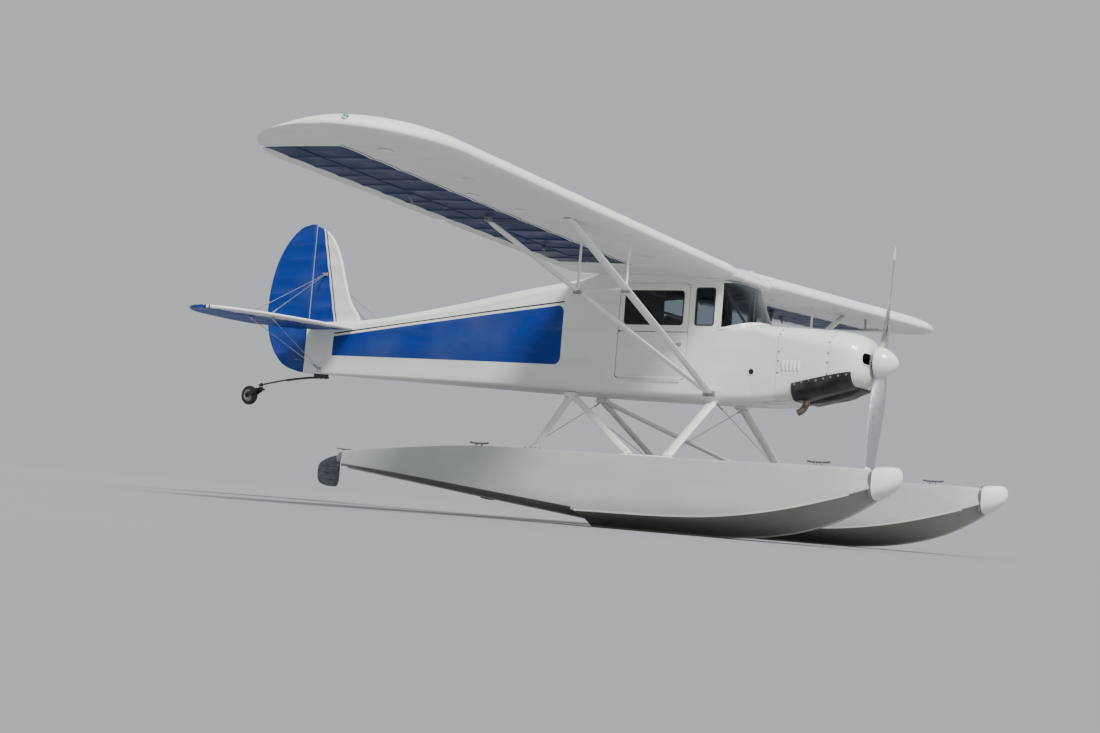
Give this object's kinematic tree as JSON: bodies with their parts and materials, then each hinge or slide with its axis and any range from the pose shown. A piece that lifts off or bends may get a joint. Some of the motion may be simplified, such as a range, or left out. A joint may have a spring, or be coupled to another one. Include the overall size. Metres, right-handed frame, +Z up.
{
  "type": "strut-braced high-wing light floatplane",
  "caption": "Fabric-covered high-wing light aircraft with tandem seats, braced by struts, standing on twin floats with water rudders.",
  "frame": {"origin": "on the floor, at the centre of the aircraft's length and span, with the keels of the floats on the floor", "axes": "+X towards the nose, +Y to port along the span, +Z up"},
  "size_m": [7.73, 10.7126, 2.83],
  "materials": {
    "white_fabric": "satin painted fabric",
    "blue_fabric": "satin painted fabric",
    "cowl_paint": "gloss",
    "strut_paint": "gloss",
    "float_gelcoat": "satin gelcoat",
    "bumper_rubber": "matte white rubber",
    "clear_glazing": "clear",
    "black_plastic": "matte",
    "bare_steel": "brushed",
    "dark_steel": "satin",
    "blade_metal": "dull",
    "propeller_metal": "satin",
    "engine_iron": "rough",
    "tyre_rubber": "matte",
    "seat_leather": "matte",
    "floor_wood": "varnished"
  },
  "bodies": {
    "airframe": {"nose_bowl": "cowl_paint", "cowling": "cowl_paint", "boot_cowl": "cowl_paint", "engine_block": "engine_iron", "chin_scoop": "black_plastic", "exhaust_stack": "bare_steel", "cabin_shell": "white_fabric", "windscreen": "clear_glazing", "skylight": "clear_glazing", "window_quarter_starboard": "clear_glazing", "window_quarter_port": "clear_glazing", "window_side_port": "clear_glazing", "instrument_panel": "black_plastic", "cabin_floor": "floor_wood", "seat_front": "seat_leather", "seat_rear": "seat_leather", "control_stick_front": "bare_steel", "control_stick_rear": "bare_steel", "rear_fuselage": "white_fabric", "fin": "white_fabric", "tail_spring": "dark_steel", "wing_port": "white_fabric", "wing_starboard": "white_fabric", "wing_struts_port": "strut_paint", "wing_struts_starboard": "strut_paint", "stabilizer_port": "blue_fabric", "stabilizer_starboard": "blue_fabric", "tail_stays_upper_port": "bare_steel", "tail_stays_upper_starboard": "bare_steel", "tail_stays_lower_port": "bare_steel", "tail_stays_lower_starboard": "bare_steel", "float_port": "float_gelcoat", "float_starboard": "float_gelcoat", "bumper_port": "bumper_rubber", "bumper_starboard": "bumper_rubber", "float_struts_port": "strut_paint", "float_struts_starboard": "strut_paint", "spreader_front": "strut_paint", "spreader_rear": "strut_paint"},
    "airscrew": {"propeller": "propeller_metal", "spinner": "cowl_paint"},
    "rudder": {"rudder": "blue_fabric"},
    "elevator": {"elevator": "blue_fabric"},
    "aileron_port": {"aileron_port": "blue_fabric"},
    "aileron_starboard": {"aileron_starboard": "blue_fabric"},
    "flap_port": {"flap_port": "blue_fabric"},
    "flap_starboard": {"flap_starboard": "blue_fabric"},
    "tail_fork": {"tail_fork": "dark_steel"},
    "tail_wheel": {"tail_wheel": "tyre_rubber"},
    "door_upper": {"door_upper": "white_fabric", "door_window": "clear_glazing"},
    "door_lower": {"door_lower": "white_fabric"},
    "water_rudder_post_port": {"water_rudder_post_port": "bare_steel"},
    "water_rudder_post_starboard": {"water_rudder_post_starboard": "bare_steel"},
    "water_rudder_blade_port": {"water_rudder_blade_port": "blade_metal"},
    "water_rudder_blade_starboard": {"water_rudder_blade_starboard": "blade_metal"}
  },
  "joints": [
    {"name": "airscrew_spin", "type": "hinge", "parent": "airframe", "child": "airscrew", "pos_m": [3.135, 0, 1.56], "axis": [1, 0, 0], "continuous": true},
    {"name": "rudder_swing", "type": "hinge", "parent": "airframe", "child": "rudder", "pos_m": [-3.087, 0, 2], "axis": [0, 0, 1], "range_deg": [-25, 25]},
    {"name": "elevator_swing", "type": "hinge", "parent": "airframe", "child": "elevator", "pos_m": [-2.98, 0, 1.75], "axis": [0, 1, 0], "range_deg": [-15, 25]},
    {"name": "aileron_swing_port", "type": "hinge", "parent": "airframe", "child": "aileron_port", "pos_m": [0.67, 3.7, 2.44214], "axis": [0, 0.9993, 0.0384], "range_deg": [-18, 18]},
    {"name": "aileron_swing_starboard", "type": "hinge", "parent": "airframe", "child": "aileron_starboard", "pos_m": [0.67, -3.7, 2.44214], "axis": [0, 0.9993, -0.0384], "range_deg": [-18, 18]},
    {"name": "flap_drop_port", "type": "hinge", "parent": "airframe", "child": "flap_port", "pos_m": [0.67, 1.5, 2.35762], "axis": [0, -0.9993, -0.0384], "range_deg": [0, 50]},
    {"name": "flap_drop_starboard", "type": "hinge", "parent": "airframe", "child": "flap_starboard", "pos_m": [0.67, -1.5, 2.35762], "axis": [0, -0.9993, 0.0384], "range_deg": [0, 50]},
    {"name": "tail_fork_swivel", "type": "hinge", "parent": "airframe", "child": "tail_fork", "pos_m": [-3.62, 0, 1.116], "axis": [0, 0, 1], "range_deg": [-25, 25]},
    {"name": "tail_wheel_spin", "type": "hinge", "parent": "tail_fork", "child": "tail_wheel", "pos_m": [-3.765, 0, 1.04], "axis": [0, 1, 0], "continuous": true},
    {"name": "door_upper_lift", "type": "hinge", "parent": "airframe", "child": "door_upper", "pos_m": [1.121, -0.364, 2.182], "axis": [-1, 0, 0], "range_deg": [0, 85]},
    {"name": "door_lower_drop", "type": "hinge", "parent": "airframe", "child": "door_lower", "pos_m": [1.121, -0.37, 1.324], "axis": [1, 0, 0], "range_deg": [0, 170]},
    {"name": "water_rudder_steer_port", "type": "hinge", "parent": "airframe", "child": "water_rudder_post_port", "pos_m": [-1.425, 1.32, 0.45], "axis": [0, 0, 1], "range_deg": [-25, 25]},
    {"name": "water_rudder_steer_starboard", "type": "hinge", "parent": "airframe", "child": "water_rudder_post_starboard", "pos_m": [-1.425, -1.32, 0.45], "axis": [0, 0, 1], "range_deg": [-25, 25]},
    {"name": "water_rudder_lift_port", "type": "hinge", "parent": "water_rudder_post_port", "child": "water_rudder_blade_port", "pos_m": [-1.47, 1.32, 0.42], "axis": [0, 1, 0], "range_deg": [0, 80]},
    {"name": "water_rudder_lift_starboard", "type": "hinge", "parent": "water_rudder_post_starboard", "child": "water_rudder_blade_starboard", "pos_m": [-1.47, -1.32, 0.42], "axis": [0, 1, 0], "range_deg": [0, 80]}
  ],
  "couplings": [
    {"joint": "aileron_swing_starboard", "follows": "aileron_swing_port", "ratio": -1},
    {"joint": "flap_drop_starboard", "follows": "flap_drop_port", "ratio": 1},
    {"joint": "tail_fork_swivel", "follows": "rudder_swing", "ratio": 1},
    {"joint": "water_rudder_steer_port", "follows": "rudder_swing", "ratio": 1},
    {"joint": "water_rudder_steer_starboard", "follows": "rudder_swing", "ratio": 1},
    {"joint": "water_rudder_lift_starboard", "follows": "water_rudder_lift_port", "ratio": 1}
  ]
}
